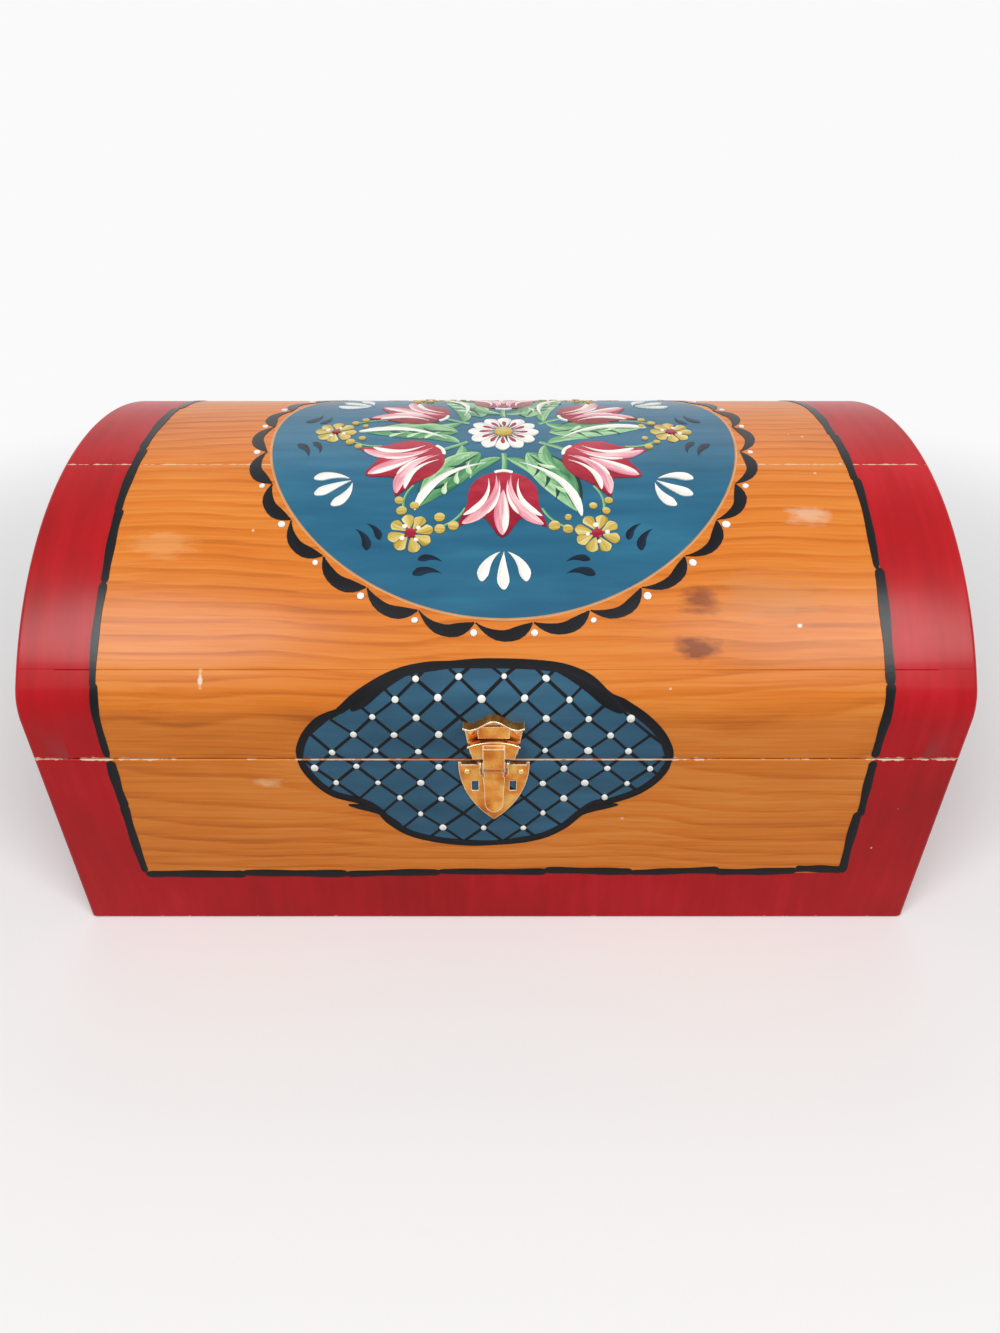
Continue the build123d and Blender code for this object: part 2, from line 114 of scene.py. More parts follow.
def add(tree, kind, inputs=(), stops=(), **settings):
    """Adds a node with its settings and links.

    Inputs go by socket, or in the order of the sockets. Each is a value, an output, or a node,
    which stands for its first output.
    """
    node = tree.nodes.new("ShaderNode" + kind)
    for name, value in settings.items():
        setattr(node, name, value)
    pairs = inputs.items() if isinstance(inputs, dict) else enumerate(inputs)
    for socket, value in pairs:
        source = value.outputs[0] if isinstance(value, bpy.types.Node) else value
        if isinstance(source, bpy.types.NodeSocket):
            tree.links.new(source, node.inputs[socket])
        else:
            node.inputs[socket].default_value = source
    for index, (place, colour) in enumerate(stops):
        elements = node.color_ramp.elements
        stop = elements[index] if index < 2 else elements.new(place)
        stop.position = place
        stop.color = colour
    return node


# Places of the colour sockets on a Mix node: the two inputs, and the output
below, above, mixed = 6, 7, 2


def new_material(name):
    """Empty node material and its node tree."""
    material = bpy.data.materials.new(name)
    material.use_nodes = True
    material.node_tree.nodes.clear()
    return material, material.node_tree


# Thin clear varnish, which gives soft highlights and keeps the dark colours dark
varnish = {"Specular IOR Level": 0.12, "Coat Weight": 0.16, "Coat Roughness": 0.2}

# Marks of use on the varnish, and one painted sheen where the grain shimmers: place across
# and round the case and half sizes, all in millimetres, then colour and strength
case_marks_and_sheen = [
    (65.4, 130.0, 11, 8.5, "#74301E", 0.72),
    (63.7, 114.2, 12, 7, "#642A1C", 0.75),
    (104.5, 161.8, 13, 7, "#E9C7AC", 0.5),
    (-93.5, 104.0, 1.4, 5.5, "#F2DCC4", 0.8),
    (-75.8, 65.4, 12, 3, "#EFC08C", 0.55),
    (96.8, 121.6, 1.6, 1.2, "#F8EFE2", 1.0),
    # Painted sheen: a paler patch where the grain shimmers in the light, not a mark of use
    (88.0, 132.0, 34, 16, "#C98A55", 0.4),
    (-110.0, 150.0, 20, 9, "#EFB67A", 0.3),
]

# Tones of the wood from its pale early growth to its dark late growth
stained_tones = [(0.2, linear("#E59546")), (0.52, linear("#D47626")), (0.85, linear("#98480F"))]
bare_tones = [(0.2, linear("#D9B98C")), (0.52, linear("#BF9965")), (0.85, linear("#8F6A41"))]


def wood_grain(tree, coords, board, seed):
    """Grain of a plain-sawn softwood board, as a tone from pale to dark, and its fine fibres.

    Growth rings 3 mm apart lie round a heart 85 mm inside the board's face, and the fibres run
    along the board.
    """
    chance = random.Random(seed)
    low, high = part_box(board)
    middle = (low + high) / 2
    if board.endswith("_end"):
        coords = add(tree, "Mapping", {"Vector": coords, "Rotation": (0, 0, math.pi / 2)})
        middle = Vector((-middle.y, middle.x, middle.z))
    inward = Vector((0, -middle.y, dome_centre - middle.z)).normalized()
    aside = Vector((0, -inward.z, inward.y))
    heart = middle + inward * 85 * MM + aside * chance.choice((-1, 1)) * chance.uniform(50, 72) * MM
    sway = 11 * MM
    warp = add(tree, "TexNoise", {"Vector": coords, "Scale": 9.0, "Detail": 2.0})
    pull = add(tree, "VectorMath", [warp.outputs["Color"], (0.0, sway, sway)], operation="MULTIPLY")
    bent = add(tree, "VectorMath", [coords, pull], operation="ADD")
    placed = add(
        tree,
        "Mapping",
        {
            "Vector": bent,
            "Location": (0, -heart.y - sway / 2, -heart.z - sway / 2),
            "Rotation": (0, chance.uniform(-0.04, 0.04), chance.uniform(-0.04, 0.04)),
        },
    )
    rings = add(
        tree,
        "TexWave",
        {"Vector": placed, "Scale": 105.0, "Distortion": 2.6, "Detail": 2.0, "Detail Scale": 0.16},
        wave_type="RINGS",
        rings_direction="X",
        wave_profile="SAW",
    )
    ring_tone = add(
        tree,
        "ValToRGB",
        [rings.outputs["Fac"]],
        stops=[(0.0, grey(0.1)), (0.55, grey(0.3)), (0.9, grey(0.8)), (1.0, grey(0.25))],
    )
    fibre_place = add(tree, "Mapping", {"Vector": bent, "Scale": (14, 850, 850)})
    fibres = add(tree, "TexNoise", {"Vector": fibre_place, "Scale": 1.0, "Detail": 4.0, "Roughness": 0.62})
    blotch_place = add(tree, "Mapping", {"Vector": bent, "Scale": (11, 38, 38)})
    blotch = add(tree, "TexNoise", {"Vector": blotch_place, "Scale": 1.0, "Detail": 4.0})
    growth = add(tree, "Math", [ring_tone, 0.22, -0.06], operation="MULTIPLY_ADD")
    streaked = add(tree, "Math", [fibres, 0.5, growth], operation="MULTIPLY_ADD")
    tone = add(tree, "Math", [blotch, 0.46, streaked], operation="MULTIPLY_ADD")
    return tone, fibres


def outside_mask(tree, where, domed):
    """1 on the outside of the case, 0 on inner faces and on the rims at the seam."""
    skin = 0.9 * MM
    outer = []
    for axis, reach in (("X", half_width), ("Y", half_depth)):
        away = add(tree, "Math", [where.outputs[axis]], operation="ABSOLUTE")
        outer.append(add(tree, "Math", [away, reach - skin], operation="GREATER_THAN"))
    mask = add(tree, "Math", outer, operation="MAXIMUM")
    if domed:
        height = add(tree, "Math", [where.outputs["Z"], dome_centre], operation="SUBTRACT")
        flat = add(tree, "CombineXYZ", {"Y": where.outputs["Y"], "Z": height})
        reach = add(tree, "VectorMath", [flat], operation="LENGTH").outputs["Value"]
        on_dome = add(tree, "Math", [reach, dome_radius - 1.2 * MM], operation="GREATER_THAN")
        mask = add(tree, "Math", [mask, on_dome], operation="MAXIMUM")
    return mask


def red_mask(tree, coords, where):
    """1 on the enamelled bands at both sides and at the foot, with edges that sway a little."""
    sway = 1.6 * MM
    wobble = add(tree, "TexNoise", {"Vector": coords, "Scale": 30.0, "Detail": 2.0})
    swayed = add(tree, "Math", [wobble, sway, -sway / 2], operation="MULTIPLY_ADD")
    across = add(tree, "Math", [where.outputs["X"], swayed], operation="ADD")
    upward = add(tree, "Math", [where.outputs["Z"], swayed], operation="ADD")
    left = add(tree, "Math", [across, band_left], operation="LESS_THAN")
    right = add(tree, "Math", [across, band_right], operation="GREATER_THAN")
    foot = add(tree, "Math", [upward, band_foot], operation="LESS_THAN")
    sides = add(tree, "Math", [left, right], operation="MAXIMUM")
    return add(tree, "Math", [sides, foot], operation="MAXIMUM")


def worn_mask(tree, coords, where, cloud, domed):
    """1 where the finish is knocked off: chips along the seam, the foot and the dome's joints,
    and rare specks."""
    chip = add(tree, "TexNoise", {"Vector": coords, "Scale": 420.0, "Detail": 3.0})
    # Chips at the seam reach further where the paint is worn more
    chip_reach = 2.4 * MM
    usual_wear = 1.3
    height = add(tree, "Math", [where.outputs["Z"], (seam + lid_foot) / 2], operation="SUBTRACT")
    from_seam = add(tree, "Math", [height], operation="ABSOLUTE")
    wear = add(tree, "Math", [cloud, 1.6, chip], operation="MULTIPLY_ADD")
    ragged = add(tree, "Math", [wear, -chip_reach, from_seam], operation="MULTIPLY_ADD")
    at_seam = add(tree, "Math", [ragged, seam_wear - usual_wear * chip_reach], operation="LESS_THAN")
    near_foot = add(tree, "Math", [where.outputs["Z"], 1.0 * MM], operation="LESS_THAN")
    chipped = add(tree, "Math", [chip, 0.65], operation="GREATER_THAN")
    at_foot = add(tree, "Math", [near_foot, chipped], operation="MULTIPLY")
    knocked = add(tree, "Math", [at_foot, at_seam], operation="MAXIMUM")
    if domed:
        crack_reach = 1.2 * MM
        crack = 0.16 * MM
        rise = add(tree, "Math", [where.outputs["Z"], dome_centre], operation="SUBTRACT")
        depth = add(tree, "Math", [where.outputs["Y"]], operation="ABSOLUTE")
        turn = add(tree, "Math", [depth, rise], operation="ARCTAN2")
        past = add(tree, "Math", [turn, top_turn], operation="SUBTRACT")
        off_joint = add(tree, "Math", [past], operation="ABSOLUTE")
        from_joint = add(tree, "Math", [off_joint, dome_radius], operation="MULTIPLY")
        ragged = add(tree, "Math", [chip, -crack_reach, from_joint], operation="MULTIPLY_ADD")
        cracked = add(tree, "Math", [ragged, crack - crack_reach / 2], operation="LESS_THAN")
        knocked = add(tree, "Math", [knocked, cracked], operation="MAXIMUM")
    speck = add(tree, "TexVoronoi", {"Vector": coords, "Scale": 90.0, "Randomness": 1.0})
    rare = add(tree, "TexNoise", {"Vector": coords, "Scale": 35.0, "Detail": 1.0})
    small = add(tree, "Math", [speck, 0.045], operation="LESS_THAN")
    scarce = add(tree, "Math", [rare, 0.6], operation="GREATER_THAN")
    specks = add(tree, "Math", [small, scarce], operation="MULTIPLY")
    return add(tree, "Math", [knocked, specks], operation="MAXIMUM")


def with_marks_and_sheen(tree, coords, painted):
    """Painted colour with the marks of use and one painted sheen over it, each torn at its edge by a fine
    grit.
    """
    grit_place = add(tree, "Mapping", {"Vector": coords, "Scale": (150, 420, 420)})
    grit = add(tree, "TexNoise", {"Vector": grit_place, "Scale": 1.0, "Detail": 4.0})
    for x, way, half_x, half_way, colour, strength in case_marks_and_sheen:
        place = case_point(x * MM, way * MM)
        scale = (1 / (half_x * MM), 1 / (half_way * MM), 1 / (half_way * MM))
        shift = tuple(-c * s for c, s in zip(place, scale))
        spread = add(tree, "Mapping", {"Vector": coords, "Location": shift, "Scale": scale})
        blob = add(tree, "TexGradient", [spread], gradient_type="SPHERICAL").outputs["Fac"]
        torn = add(tree, "Math", [grit, 1.1, blob], operation="MULTIPLY_ADD")
        amount = add(tree, "MapRange", {"Value": torn, "From Min": 0.9, "From Max": 1.3, "To Max": strength})
        over = {"Factor": amount, below: painted, above: linear(colour)}
        painted = add(tree, "Mix", over, data_type="RGBA").outputs[mixed]
    return painted


def painted_case_wood(board, seed):
    """Amber-stained softwood with crimson enamel bands, both under a brushed gloss varnish.

    The stain gives a warm honey tone with darker growth lines; the enamel is opaque and deep, and
    the varnish over both gives broad soft highlights. Inner faces stay bare and matt.
    """
    domed = board.startswith("lid")
    material, tree = new_material("stained_softwood_" + board)
    coords = add(tree, "TexCoord").outputs["Object"]
    where = add(tree, "SeparateXYZ", [coords])
    tone, fibres = wood_grain(tree, coords, board, seed)
    stained = add(tree, "ValToRGB", [tone], stops=stained_tones)
    bare = add(tree, "ValToRGB", [tone], stops=bare_tones)
    cloud = add(tree, "TexNoise", {"Vector": coords, "Scale": 22.0, "Detail": 4.0})
    brush_place = add(tree, "Mapping", {"Vector": coords, "Scale": (260, 26, 26)})
    brush = add(tree, "TexNoise", {"Vector": brush_place, "Scale": 1.0, "Detail": 3.0})
    brushed = add(tree, "Math", [brush, 0.4], operation="MULTIPLY")
    red_tone = add(tree, "Math", [cloud, 0.6, brushed], operation="MULTIPLY_ADD")
    enamel = add(
        tree,
        "ValToRGB",
        [red_tone],
        stops=[(0.3, linear("#98060C")), (0.55, linear("#B20A14")), (0.75, linear("#C41A28"))],
    )
    red = red_mask(tree, coords, where)
    painted = add(tree, "Mix", {"Factor": red, below: stained, above: enamel}, data_type="RGBA")
    # Marks of use and one painted sheen laid over the colour
    used_and_sheened = with_marks_and_sheen(tree, coords, painted.outputs[mixed])
    worn = worn_mask(tree, coords, where, cloud, domed)
    shown = add(tree, "Mix", {"Factor": worn, below: used_and_sheened, above: linear("#DDBB9C")}, data_type="RGBA")
    outside = outside_mask(tree, where, domed)
    sides = {"Factor": outside, below: bare, above: shown.outputs[mixed]}
    colour = add(tree, "Mix", sides, data_type="RGBA").outputs[mixed]
    gloss = add(tree, "MapRange", {"Value": outside, "To Min": 0.62, "To Max": 0.3})
    roughness = add(tree, "Math", [cloud, 0.08, gloss], operation="MULTIPLY_ADD")
    relief = add(tree, "Mix", {"Factor": red, below: fibres, above: brush}, data_type="RGBA").outputs[mixed]
    bump = add(tree, "Bump", {"Height": relief, "Strength": 0.12, "Distance": 0.3 * MM})
    shader = add(
        tree, "BsdfPrincipled", {"Base Color": colour, "Roughness": roughness, "Normal": bump, **varnish}
    )
    add(tree, "OutputMaterial", [shader])
    return material


def bare_bottom_wood():
    """Bare planed softwood board: pale, dry and matt, with the same grain as the walls."""
    material, tree = new_material("bare_planed_softwood")
    coords = add(tree, "TexCoord").outputs["Object"]
    tone, fibres = wood_grain(tree, coords, "base_bottom_board", 91)
    colour = add(tree, "ValToRGB", [tone], stops=bare_tones)
    bump = add(tree, "Bump", {"Height": fibres, "Strength": 0.2, "Distance": 0.2 * MM})
    shader = add(tree, "BsdfPrincipled", {"Base Color": colour, "Roughness": 0.65, "Normal": bump})
    add(tree, "OutputMaterial", [shader])
    return material


def brush_enamel(name, deep, main, light, roughness=0.3):
    """Hobby enamel laid on with a round brush: streaks of a lighter and a deeper tone run along
    each stroke, read from the stroke's own UV map, and the film dries to a soft gloss."""
    material, tree = new_material(name)
    along = add(tree, "UVMap", uv_map="stroke")
    place = add(tree, "Mapping", {"Vector": along, "Scale": (1.1, 5.5, 1.0)})
    streak = add(tree, "TexNoise", {"Vector": place, "Scale": 1.0, "Detail": 3.0})
    across = add(tree, "SeparateXYZ", [along]).outputs["Y"]
    side = add(tree, "Math", [across, 0.3], operation="MULTIPLY")
    tone = add(tree, "Math", [streak, 0.7, side], operation="MULTIPLY_ADD")
    colour = add(
        tree, "ValToRGB", [tone], stops=[(0.3, linear(deep)), (0.5, linear(main)), (0.7, linear(light))]
    )
    bump = add(tree, "Bump", {"Height": streak, "Strength": 0.25, "Distance": 0.1 * MM})
    shader = add(
        tree, "BsdfPrincipled", {"Base Color": colour, "Roughness": roughness, "Normal": bump, **varnish}
    )
    add(tree, "OutputMaterial", [shader])
    return material


def ground_enamel(name, deep, main, light):
    """Flat coat of enamel under a painting, brushed from side to side, with faint lap marks."""
    material, tree = new_material(name)
    coords = add(tree, "TexCoord").outputs["Object"]
    place = add(tree, "Mapping", {"Vector": coords, "Scale": (28, 160, 160)})
    streak = add(tree, "TexNoise", {"Vector": place, "Scale": 1.0, "Detail": 4.0})
    cloud = add(tree, "TexNoise", {"Vector": coords, "Scale": 18.0, "Detail": 3.0})
    clouded = add(tree, "Math", [cloud, 0.5], operation="MULTIPLY")
    tone = add(tree, "Math", [streak, 0.5, clouded], operation="MULTIPLY_ADD")
    colour = add(
        tree, "ValToRGB", [tone], stops=[(0.32, linear(deep)), (0.52, linear(main)), (0.72, linear(light))]
    )
    bump = add(tree, "Bump", {"Height": streak, "Strength": 0.15, "Distance": 0.15 * MM})
    shader = add(
        tree, "BsdfPrincipled", {"Base Color": colour, "Roughness": 0.32, "Normal": bump, **varnish}
    )
    add(tree, "OutputMaterial", [shader])
    return material


def plated_brass(name, deep, main, bright, roughness):
    """Stamped steel sheet with a bright brass plating: warm yellow metal with sharp highlights,
    a pale painted highlight along its rims and painted brown shade in its creases."""
    material, tree = new_material(name)
    coords = add(tree, "TexCoord").outputs["Object"]
    cloud = add(tree, "TexNoise", {"Vector": coords, "Scale": 160.0, "Detail": 3.0})
    plating = add(
        tree, "ValToRGB", [cloud], stops=[(0.3, linear(deep)), (0.5, linear(main)), (0.75, linear(bright))]
    )
    flat = add(tree, "NewGeometry").outputs["Normal"]
    eased = add(tree, "Bevel", {"Radius": 0.55 * MM}, samples=6)
    likeness = add(tree, "VectorMath", [flat, eased], operation="DOT_PRODUCT").outputs["Value"]
    # rim: 1 along the sheet's edges, where the rounded normal leans off the flat one; it carries a painted
    # highlight
    rim = add(tree, "MapRange", {"Value": likeness, "From Min": 0.999, "From Max": 0.93})
    # Painted shade: the occlusion test darkens the metal to brown in creases and next to other parts
    unoccluded = add(tree, "AmbientOcclusion", {"Distance": 1.6 * MM}, samples=6).outputs["AO"]
    unshaded_share = add(tree, "MapRange", {"Value": unoccluded, "From Min": 0.2, "From Max": 0.7})
    crease_shaded = add(tree, "Mix", {"Factor": unshaded_share, below: linear("#6E4814"), above: plating}, data_type="RGBA")
    # Painted highlight: the rims blend to a pale cream
    rim_highlighted = {"Factor": rim, below: crease_shaded.outputs[mixed], above: linear("#FFF3D2")}
    colour = add(tree, "Mix", rim_highlighted, data_type="RGBA").outputs[mixed]
    rough = add(tree, "MapRange", {"Value": cloud, "To Min": roughness - 0.05, "To Max": roughness + 0.08})
    shader = add(
        tree, "BsdfPrincipled", {"Base Color": colour, "Metallic": 0.85, "Roughness": rough, "Normal": eased}
    )
    add(tree, "OutputMaterial", [shader])
    return material


# Flat drawings that are laid on the case as thin films of paint


class Drawing:
    """Flat drawing with X across the box and Y the way round the case from its front bottom edge.

    Each stroke lies a hair higher or lower than the one before it, so that no two share a face.
    """

    stroke_step = 0.004 * MM
    stroke_levels = 13

    def __init__(self):
        self.mesh = bmesh.new()
        self.uv = self.mesh.loops.layers.uv.new("stroke")
        self.rise = self.mesh.verts.layers.float.new("rise")
        self.strokes = 0

    def next_level(self):
        """Height of the next stroke over the drawing."""
        self.strokes += 1
        return self.strokes % self.stroke_levels * self.stroke_step

    def patch(self, outline):
        """Filled shape inside a closed outline."""
        level = self.next_level()
        verts = [self.mesh.verts.new((p[0], p[1], 0)) for p in outline]
        face = self.mesh.faces.new(verts)
        low = min(p[1] for p in outline)
        high = max(p[1] for p in outline)
        for vert in verts:
            vert[self.rise] = level
        for loop in face.loops:
            loop[self.uv].uv = (loop.vert.co.x / uv_pitch, (loop.vert.co.y - low) / (high - low))

    def stroke(self, line, width, profile):
        """Brush stroke along a line of points, as wide as the profile says from 0 to 1 along it."""
        level = self.next_level()
        start = 7.3 * self.strokes
        edge = None
        places = {}
        run = 0.0
        last = len(line) - 1
        for index, point in enumerate(line):
            ahead = line[min(index + 1, last)]
            behind = line[max(index - 1, 0)]
            way = Vector((ahead[0] - behind[0], ahead[1] - behind[1], 0)).normalized()
            aside = Vector((-way.y, way.x, 0)) * width * profile(ease(index / last)) / 2
            here = Vector((point[0], point[1], 0))
            if index:
                run += (here - previous).length
            previous = here
            if edge is None:
                left = self.mesh.verts.new(here + aside)
                right = self.mesh.verts.new(here - aside)
                edge = self.mesh.edges.new((left, right))
            else:
                made = bmesh.ops.extrude_edge_only(self.mesh, edges=[edge])["geom"]
                verts = [g for g in made if isinstance(g, bmesh.types.BMVert)]
                edges = [g for g in made if isinstance(g, bmesh.types.BMEdge)]
                edge = next(e for e in edges if set(e.verts) == set(verts))
                left, right = sorted(verts, key=lambda v: (v.co - left.co).length)
                left.co = here + aside
                right.co = here - aside
            left[self.rise] = right[self.rise] = level
            places[left] = (start + run / uv_pitch, 0.0)
            places[right] = (start + run / uv_pitch, 1.0)
            for face in left.link_faces:
                for loop in face.loops:
                    loop[self.uv].uv = places[loop.vert]


def line_profile(_):
    """Width of a thin line: even from end to end, and a little under the brush's own."""
    return 0.9


def round_profile(t):
    """Width of a stroke with two rounded ends."""
    return max(0.06, min(1.0, 5.0 * math.sqrt(max(0.0, t * (1 - t)))))


def comma_profile(t):
    """Width of a comma stroke: a round head that runs out to a thin tail."""
    head = math.sqrt(max(0.0, min(1.0, t / 0.22)))
    return max(0.05, head * (1 - max(0.0, (t - 0.22) / 0.78) ** 1.3))


def crescent_profile(t):
    """Width of a crescent stroke that starts thin and ends fuller."""
    return max(0.12, min(1.0, 2.4 * (t * (1 - t)) ** 0.55) * (0.62 + 0.5 * t))


def leaf_profile(t):
    """Width of a pointed leaf or petal, broadest before the middle."""
    return max(0.03, math.sin(math.pi * t**0.8) ** 0.8)


def ease(t):
    """Share of the way along a stroke, with closer steps at both ends, where the width changes."""
    return (1 - math.cos(math.pi * t)) / 2


def curve(start, end, bend, steps=14):
    """Points of a gentle arc from start to end, bowed to its left by a share of its length."""
    middle = (
        (start[0] + end[0]) / 2 - (end[1] - start[1]) * bend,
        (start[1] + end[1]) / 2 + (end[0] - start[0]) * bend,
    )
    points = []
    for index in range(steps + 1):
        t = ease(index / steps)
        points.append(
            tuple(
                (1 - t) ** 2 * start[axis] + 2 * t * (1 - t) * middle[axis] + t**2 * end[axis]
                for axis in (0, 1)
            )
        )
    return points


def smooth_outline(points, steps=6):
    """Closed outline that runs smoothly through the points."""
    outline = []
    count = len(points)
    for index in range(count):
        before, here, after, beyond = (points[(index + k - 1) % count] for k in range(4))
        for step in range(steps):
            t = step / steps
            outline.append(
                tuple(
                    0.5
                    * (
                        2 * here[axis]
                        + (after[axis] - before[axis]) * t
                        + (2 * before[axis] - 5 * here[axis] + 4 * after[axis] - beyond[axis]) * t**2
                        + (3 * here[axis] - before[axis] - 3 * after[axis] + beyond[axis]) * t**3
                    )
                    for axis in (0, 1)
                )
            )
    return outline


def bend_levels(low, high, bends):
    """Ways round the case at which a drawing is cut: at the seam, and so that it can bend."""
    edges = (seam - seam_wear, lid_foot + seam_wear)
    levels = list(edges) + [whole_way - edge for edge in edges]
    way = low
    while bends and way < high:
        mirrored = min(way, whole_way - way)
        on_shoulder = shoulder - 2 * MM < mirrored < shoulder + shoulder_length + 2 * MM
        way += 1.3 * MM if on_shoulder else 4 * MM
        levels.append(way)
    return [level for level in levels if low < level < high]


def lay(drawing, name, lift, material, bevel=0.0, bends=True):
    """Lays a drawing on the case as closed films of paint, one on each body that it crosses."""
    mesh = drawing.mesh
    bmesh.ops.triangulate(mesh, faces=mesh.faces[:], ngon_method="EAR_CLIP")
    ways = [v.co.y for v in mesh.verts]
    for level in bend_levels(min(ways), max(ways), bends):
        geometry = mesh.verts[:] + mesh.edges[:] + mesh.faces[:]
        bmesh.ops.bisect_plane(
            mesh, geom=geometry, plane_co=(0, level, 0), plane_no=(0, 1, 0), dist=merge_reach
        )
    for face in mesh.faces:
        if face.normal.z < 0:
            face.normal_flip()
    for body in ("base", "lid"):
        part = mesh.copy()
        strays = []
        for face in part.faces:
            way = face.calc_center_median().y
            way = min(way, whole_way - way)
            on_base = way < seam - seam_wear
            on_lid = way > lid_foot + seam_wear
            if (body == "base" and not on_base) or (body == "lid" and not on_lid):
                strays.append(face)
        bmesh.ops.delete(part, geom=strays, context="FACES")
        if not part.faces:
            part.free()
            continue
        rise = part.verts.layers.float["rise"]
        for vert in part.verts:
            vert.co = case_point(vert.co.x, vert.co.y, lift + vert[rise])
        data = bpy.data.meshes.new(f"{name}_{body}")
        part.to_mesh(data)
        part.free()
        piece = bpy.data.objects.new(f"{name}_{body}", data)
        bpy.context.scene.collection.objects.link(piece)
        data.materials.append(material)
        film = piece.modifiers.new("film", "SOLIDIFY")
        film.thickness = lift + paint_depth
        film.offset = -1
        if bevel:
            rim = piece.modifiers.new("rim", "BEVEL")
            rim.width = bevel
            rim.segments = 2
            rim.limit_method = "ANGLE"
            data.shade_smooth()
        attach(piece, body)
    mesh.free()


# Finishes
black_line = brush_enamel("black_brush_enamel", "#040406", "#08080D", "#12131B")
white_line = brush_enamel("white_brush_enamel", "#DCDAD2", "#F1EFE8", "#FBFAF6", 0.36)
ochre_line = brush_enamel("ochre_brush_enamel", "#A88A30", "#CBB059", "#E4D390", 0.36)
crimson_line = brush_enamel("crimson_brush_enamel", "#7E1024", "#A31C31", "#B83145")
pink_line = brush_enamel("pink_brush_enamel", "#D0788A", "#E8A4AE", "#F6D5D6")
green_line = brush_enamel("leaf_green_brush_enamel", "#2F7048", "#6AA672", "#B4D6A6")
deep_green_line = brush_enamel("deep_green_brush_enamel", "#0E2C2B", "#1B4540", "#2E6355")
navy_line = brush_enamel("navy_brush_enamel", "#06121E", "#0C1E30", "#152F47")
pale_green_line = brush_enamel("pale_green_brush_enamel", "#8FC08C", "#BFDDB0", "#E4F0D8")
tan_line = brush_enamel("tan_brush_enamel", "#B07A48", "#C9935E", "#DDB083")
medallion_blue = ground_enamel("blue_ground_enamel", "#1D5674", "#276582", "#357793")
cartouche_blue = ground_enamel("slate_blue_ground_enamel", "#274B62", "#305A73", "#3D6A85")
brass = plated_brass("plated_brass_sheet", "#B8641E", "#D98A3A", "#E9BC66", 0.25)
screw_brass = plated_brass("polished_brass_fasteners", "#B67A34", "#DDAA5E", "#F0CC8A", 0.2)


# CAD pieces take their finishes
finishes = {}
for seed, board in enumerate(sorted(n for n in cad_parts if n.startswith(("base_", "lid_")))):
    bare = board == "base_bottom_board"
    finish = bare_bottom_wood() if bare else painted_case_wood(board, seed + 3)
    finishes[board] = finish
    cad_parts[board].data.materials.clear()
    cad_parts[board].data.materials.append(finish)
for fitting in (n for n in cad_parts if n.startswith(("latch_", "hinge_"))):
    finish = screw_brass if fitting.endswith(("screws", "nails", "pin")) else brass
    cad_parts[fitting].data.materials.clear()
    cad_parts[fitting].data.materials.append(finish)


# Round boards of the lid, with their curves at full smoothness
arc_step = math.radians(1.4)
hair = 0.001 * MM


def turn_point(turn, inset=0.0):
    """Point of the lid's section on the dome at a turn from its top, as Y and Z."""
    reach = dome_radius - inset
    return (-reach * math.sin(turn), dome_centre + reach * math.cos(turn))


def arc_points(point, first, last):
    """Points of an arc at fine steps, both ends among them."""
    count = math.ceil(abs(last - first) / arc_step)
    return [point(first + (last - first) * index / count) for index in range(count + 1)]


def rail_curve(inset):
    """Line up the front rail's wall, round its shoulder and over the dome to its joint."""
    reach = shoulder_radius - inset

    def shoulder_point(turn):
        return (-shoulder_run - reach * math.sin(turn), shoulder + reach * math.cos(turn))

    foot = [(-half_depth + inset, lid_foot)]
    bend = arc_points(shoulder_point, math.pi / 2, dome_turn)
    rise = arc_points(lambda turn: turn_point(turn, inset), dome_turn, joint_turn)
    return foot + bend + rise[1:]


def strip(mesh, path, first, last):
    """Faces between two stations along the box that follow a path of the section."""
    near, far = ([mesh.verts.new((x, y, z)) for y, z in path] for x in (first, last))
    for index in range(len(path) - 1):
        mesh.faces.new((near[index], near[index + 1], far[index + 1], far[index]))


def cap(mesh, path, x):
    """Flat face of the section at one station."""
    mesh.faces.new([mesh.verts.new((x, y, z)) for y, z in path])


